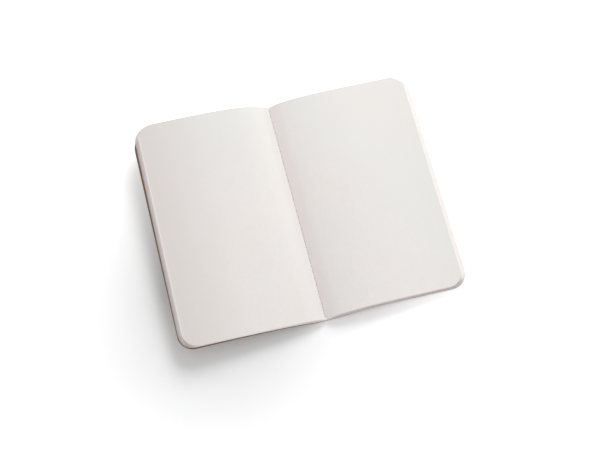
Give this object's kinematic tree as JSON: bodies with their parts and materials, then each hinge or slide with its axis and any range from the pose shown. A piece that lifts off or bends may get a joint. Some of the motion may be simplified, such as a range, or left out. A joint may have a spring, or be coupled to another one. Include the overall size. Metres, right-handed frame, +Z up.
{
  "type": "notebook",
  "caption": "Open pocket notebook with a plain card cover, blank leaves with rounded fore-edge corners and a sewn fold; halves, covers and leaves turn.",
  "frame": {"origin": "on the table under the middle of the open notebook's box, which is under the sewn fold", "axes": "+X across the open spread towards the right page's fore edge, +Y from tail to head along the fold, +Z up from the table"},
  "size_m": [0.1742, 0.141, 0.0181],
  "materials": {
    "writing_paper": "matt, off-white",
    "kraft_card": "matt, brown",
    "sewing_thread": "twisted thread, matt"
  },
  "bodies": {
    "binding": {"cover_spine": "kraft_card", "inner_thread": "sewing_thread", "outer_thread": "sewing_thread", "sheet_01_fold": "writing_paper", "sheet_02_fold": "writing_paper", "sheet_03_fold": "writing_paper", "sheet_04_fold": "writing_paper", "sheet_05_fold": "writing_paper", "sheet_06_fold": "writing_paper", "sheet_07_fold": "writing_paper", "sheet_08_fold": "writing_paper", "sheet_09_fold": "writing_paper", "sheet_10_fold": "writing_paper", "sheet_11_fold": "writing_paper", "sheet_12_fold": "writing_paper", "sheet_13_fold": "writing_paper", "sheet_14_fold": "writing_paper", "sheet_15_fold": "writing_paper", "sheet_16_fold": "writing_paper"},
    "left_half": {"sheet_16_left_leaf": "writing_paper"},
    "right_half": {"sheet_16_right_leaf": "writing_paper"},
    "front_panel": {"front_cover": "kraft_card"},
    "back_panel": {"back_cover": "kraft_card"},
    "left_leaf_01": {"sheet_01_left_leaf": "writing_paper"},
    "right_leaf_01": {"sheet_01_right_leaf": "writing_paper"},
    "left_leaf_02": {"sheet_02_left_leaf": "writing_paper"},
    "right_leaf_02": {"sheet_02_right_leaf": "writing_paper"},
    "left_leaf_03": {"sheet_03_left_leaf": "writing_paper"},
    "right_leaf_03": {"sheet_03_right_leaf": "writing_paper"},
    "left_leaf_04": {"sheet_04_left_leaf": "writing_paper"},
    "right_leaf_04": {"sheet_04_right_leaf": "writing_paper"},
    "left_leaf_05": {"sheet_05_left_leaf": "writing_paper"},
    "right_leaf_05": {"sheet_05_right_leaf": "writing_paper"},
    "left_leaf_06": {"sheet_06_left_leaf": "writing_paper"},
    "right_leaf_06": {"sheet_06_right_leaf": "writing_paper"},
    "left_leaf_07": {"sheet_07_left_leaf": "writing_paper"},
    "right_leaf_07": {"sheet_07_right_leaf": "writing_paper"},
    "left_leaf_08": {"sheet_08_left_leaf": "writing_paper"},
    "right_leaf_08": {"sheet_08_right_leaf": "writing_paper"},
    "left_leaf_09": {"sheet_09_left_leaf": "writing_paper"},
    "right_leaf_09": {"sheet_09_right_leaf": "writing_paper"},
    "left_leaf_10": {"sheet_10_left_leaf": "writing_paper"},
    "right_leaf_10": {"sheet_10_right_leaf": "writing_paper"},
    "left_leaf_11": {"sheet_11_left_leaf": "writing_paper"},
    "right_leaf_11": {"sheet_11_right_leaf": "writing_paper"},
    "left_leaf_12": {"sheet_12_left_leaf": "writing_paper"},
    "right_leaf_12": {"sheet_12_right_leaf": "writing_paper"},
    "left_leaf_13": {"sheet_13_left_leaf": "writing_paper"},
    "right_leaf_13": {"sheet_13_right_leaf": "writing_paper"},
    "left_leaf_14": {"sheet_14_left_leaf": "writing_paper"},
    "right_leaf_14": {"sheet_14_right_leaf": "writing_paper"},
    "left_leaf_15": {"sheet_15_left_leaf": "writing_paper"},
    "right_leaf_15": {"sheet_15_right_leaf": "writing_paper"}
  },
  "joints": [
    {"name": "left_half_fold", "type": "hinge", "parent": "binding", "child": "left_half", "pos_m": [-0.003, 0, 0.005], "axis": [0, 1, 0], "range_deg": [-78, 80]},
    {"name": "right_half_fold", "type": "hinge", "parent": "binding", "child": "right_half", "pos_m": [0.003, 0, 0.005], "axis": [0, -1, 0], "range_deg": [-78, 80]},
    {"name": "front_cover_fold", "type": "hinge", "parent": "left_half", "child": "front_panel", "pos_m": [-0.00823, 0, 0.0013], "axis": [0, -1, 0], "range_deg": [0, 145]},
    {"name": "back_cover_fold", "type": "hinge", "parent": "right_half", "child": "back_panel", "pos_m": [0.00754, 0, 0.00048], "axis": [0, 1, 0], "range_deg": [0, 145]},
    {"name": "left_leaf_01_turn", "type": "hinge", "parent": "left_half", "child": "left_leaf_01", "pos_m": [0, 0, 0.0073], "axis": [0, -1, 0], "range_deg": [-158, 0]},
    {"name": "left_leaf_02_turn", "type": "hinge", "parent": "left_half", "child": "left_leaf_02", "pos_m": [0, 0, 0.0073], "axis": [0, -1, 0], "range_deg": [-147.5, 0]},
    {"name": "left_leaf_03_turn", "type": "hinge", "parent": "left_half", "child": "left_leaf_03", "pos_m": [0, 0, 0.0073], "axis": [0, -1, 0], "range_deg": [-137, 0]},
    {"name": "left_leaf_04_turn", "type": "hinge", "parent": "left_half", "child": "left_leaf_04", "pos_m": [0, 0, 0.0073], "axis": [0, -1, 0], "range_deg": [-126.5, 0]},
    {"name": "left_leaf_05_turn", "type": "hinge", "parent": "left_half", "child": "left_leaf_05", "pos_m": [0, 0, 0.0073], "axis": [0, -1, 0], "range_deg": [-115.9, 0]},
    {"name": "left_leaf_06_turn", "type": "hinge", "parent": "left_half", "child": "left_leaf_06", "pos_m": [0, 0, 0.0073], "axis": [0, -1, 0], "range_deg": [-105.4, 0]},
    {"name": "left_leaf_07_turn", "type": "hinge", "parent": "left_half", "child": "left_leaf_07", "pos_m": [0, 0, 0.0073], "axis": [0, -1, 0], "range_deg": [-94.8, 0]},
    {"name": "left_leaf_08_turn", "type": "hinge", "parent": "left_half", "child": "left_leaf_08", "pos_m": [0, 0, 0.0073], "axis": [0, -1, 0], "range_deg": [-84.3, 0]},
    {"name": "left_leaf_09_turn", "type": "hinge", "parent": "left_half", "child": "left_leaf_09", "pos_m": [0, 0, 0.0073], "axis": [0, -1, 0], "range_deg": [-73.8, 0]},
    {"name": "left_leaf_10_turn", "type": "hinge", "parent": "left_half", "child": "left_leaf_10", "pos_m": [0, 0, 0.0073], "axis": [0, -1, 0], "range_deg": [-63.2, 0]},
    {"name": "left_leaf_11_turn", "type": "hinge", "parent": "left_half", "child": "left_leaf_11", "pos_m": [0, 0, 0.0073], "axis": [0, -1, 0], "range_deg": [-52.7, 0]},
    {"name": "left_leaf_12_turn", "type": "hinge", "parent": "left_half", "child": "left_leaf_12", "pos_m": [0, 0, 0.0073], "axis": [0, -1, 0], "range_deg": [-42.2, 0]},
    {"name": "left_leaf_13_turn", "type": "hinge", "parent": "left_half", "child": "left_leaf_13", "pos_m": [0, 0, 0.0073], "axis": [0, -1, 0], "range_deg": [-31.7, 0]},
    {"name": "left_leaf_14_turn", "type": "hinge", "parent": "left_half", "child": "left_leaf_14", "pos_m": [0, 0, 0.0073], "axis": [0, -1, 0], "range_deg": [-21.1, 0]},
    {"name": "left_leaf_15_turn", "type": "hinge", "parent": "left_half", "child": "left_leaf_15", "pos_m": [0, 0, 0.0073], "axis": [0, -1, 0], "range_deg": [-10.6, 0]},
    {"name": "right_leaf_01_turn", "type": "hinge", "parent": "right_half", "child": "right_leaf_01", "pos_m": [0, 0, 0.0073], "axis": [0, 1, 0], "range_deg": [-158, 0]},
    {"name": "right_leaf_02_turn", "type": "hinge", "parent": "right_half", "child": "right_leaf_02", "pos_m": [0, 0, 0.0073], "axis": [0, 1, 0], "range_deg": [-147.5, 0]},
    {"name": "right_leaf_03_turn", "type": "hinge", "parent": "right_half", "child": "right_leaf_03", "pos_m": [0, 0, 0.0073], "axis": [0, 1, 0], "range_deg": [-137, 0]},
    {"name": "right_leaf_04_turn", "type": "hinge", "parent": "right_half", "child": "right_leaf_04", "pos_m": [0, 0, 0.0073], "axis": [0, 1, 0], "range_deg": [-126.5, 0]},
    {"name": "right_leaf_05_turn", "type": "hinge", "parent": "right_half", "child": "right_leaf_05", "pos_m": [0, 0, 0.0073], "axis": [0, 1, 0], "range_deg": [-115.9, 0]},
    {"name": "right_leaf_06_turn", "type": "hinge", "parent": "right_half", "child": "right_leaf_06", "pos_m": [0, 0, 0.0073], "axis": [0, 1, 0], "range_deg": [-105.4, 0]},
    {"name": "right_leaf_07_turn", "type": "hinge", "parent": "right_half", "child": "right_leaf_07", "pos_m": [0, 0, 0.0073], "axis": [0, 1, 0], "range_deg": [-94.8, 0]},
    {"name": "right_leaf_08_turn", "type": "hinge", "parent": "right_half", "child": "right_leaf_08", "pos_m": [0, 0, 0.0073], "axis": [0, 1, 0], "range_deg": [-84.3, 0]},
    {"name": "right_leaf_09_turn", "type": "hinge", "parent": "right_half", "child": "right_leaf_09", "pos_m": [0, 0, 0.0073], "axis": [0, 1, 0], "range_deg": [-73.8, 0]},
    {"name": "right_leaf_10_turn", "type": "hinge", "parent": "right_half", "child": "right_leaf_10", "pos_m": [0, 0, 0.0073], "axis": [0, 1, 0], "range_deg": [-63.2, 0]},
    {"name": "right_leaf_11_turn", "type": "hinge", "parent": "right_half", "child": "right_leaf_11", "pos_m": [0, 0, 0.0073], "axis": [0, 1, 0], "range_deg": [-52.7, 0]},
    {"name": "right_leaf_12_turn", "type": "hinge", "parent": "right_half", "child": "right_leaf_12", "pos_m": [0, 0, 0.0073], "axis": [0, 1, 0], "range_deg": [-42.2, 0]},
    {"name": "right_leaf_13_turn", "type": "hinge", "parent": "right_half", "child": "right_leaf_13", "pos_m": [0, 0, 0.0073], "axis": [0, 1, 0], "range_deg": [-31.7, 0]},
    {"name": "right_leaf_14_turn", "type": "hinge", "parent": "right_half", "child": "right_leaf_14", "pos_m": [0, 0, 0.0073], "axis": [0, 1, 0], "range_deg": [-21.1, 0]},
    {"name": "right_leaf_15_turn", "type": "hinge", "parent": "right_half", "child": "right_leaf_15", "pos_m": [0, 0, 0.0073], "axis": [0, 1, 0], "range_deg": [-10.6, 0]}
  ],
  "couplings": [
    {"joint": "left_leaf_02_turn", "follows": "left_leaf_01_turn", "ratio": 0.93333},
    {"joint": "left_leaf_03_turn", "follows": "left_leaf_01_turn", "ratio": 0.86667},
    {"joint": "left_leaf_04_turn", "follows": "left_leaf_01_turn", "ratio": 0.8},
    {"joint": "left_leaf_05_turn", "follows": "left_leaf_01_turn", "ratio": 0.73333},
    {"joint": "left_leaf_06_turn", "follows": "left_leaf_01_turn", "ratio": 0.66667},
    {"joint": "left_leaf_07_turn", "follows": "left_leaf_01_turn", "ratio": 0.6},
    {"joint": "left_leaf_08_turn", "follows": "left_leaf_01_turn", "ratio": 0.53333},
    {"joint": "left_leaf_09_turn", "follows": "left_leaf_01_turn", "ratio": 0.46667},
    {"joint": "left_leaf_10_turn", "follows": "left_leaf_01_turn", "ratio": 0.4},
    {"joint": "left_leaf_11_turn", "follows": "left_leaf_01_turn", "ratio": 0.33333},
    {"joint": "left_leaf_12_turn", "follows": "left_leaf_01_turn", "ratio": 0.26667},
    {"joint": "left_leaf_13_turn", "follows": "left_leaf_01_turn", "ratio": 0.2},
    {"joint": "left_leaf_14_turn", "follows": "left_leaf_01_turn", "ratio": 0.13333},
    {"joint": "left_leaf_15_turn", "follows": "left_leaf_01_turn", "ratio": 0.066667},
    {"joint": "right_leaf_02_turn", "follows": "right_leaf_01_turn", "ratio": 0.93333},
    {"joint": "right_leaf_03_turn", "follows": "right_leaf_01_turn", "ratio": 0.86667},
    {"joint": "right_leaf_04_turn", "follows": "right_leaf_01_turn", "ratio": 0.8},
    {"joint": "right_leaf_05_turn", "follows": "right_leaf_01_turn", "ratio": 0.73333},
    {"joint": "right_leaf_06_turn", "follows": "right_leaf_01_turn", "ratio": 0.66667},
    {"joint": "right_leaf_07_turn", "follows": "right_leaf_01_turn", "ratio": 0.6},
    {"joint": "right_leaf_08_turn", "follows": "right_leaf_01_turn", "ratio": 0.53333},
    {"joint": "right_leaf_09_turn", "follows": "right_leaf_01_turn", "ratio": 0.46667},
    {"joint": "right_leaf_10_turn", "follows": "right_leaf_01_turn", "ratio": 0.4},
    {"joint": "right_leaf_11_turn", "follows": "right_leaf_01_turn", "ratio": 0.33333},
    {"joint": "right_leaf_12_turn", "follows": "right_leaf_01_turn", "ratio": 0.26667},
    {"joint": "right_leaf_13_turn", "follows": "right_leaf_01_turn", "ratio": 0.2},
    {"joint": "right_leaf_14_turn", "follows": "right_leaf_01_turn", "ratio": 0.13333},
    {"joint": "right_leaf_15_turn", "follows": "right_leaf_01_turn", "ratio": 0.066667}
  ]
}
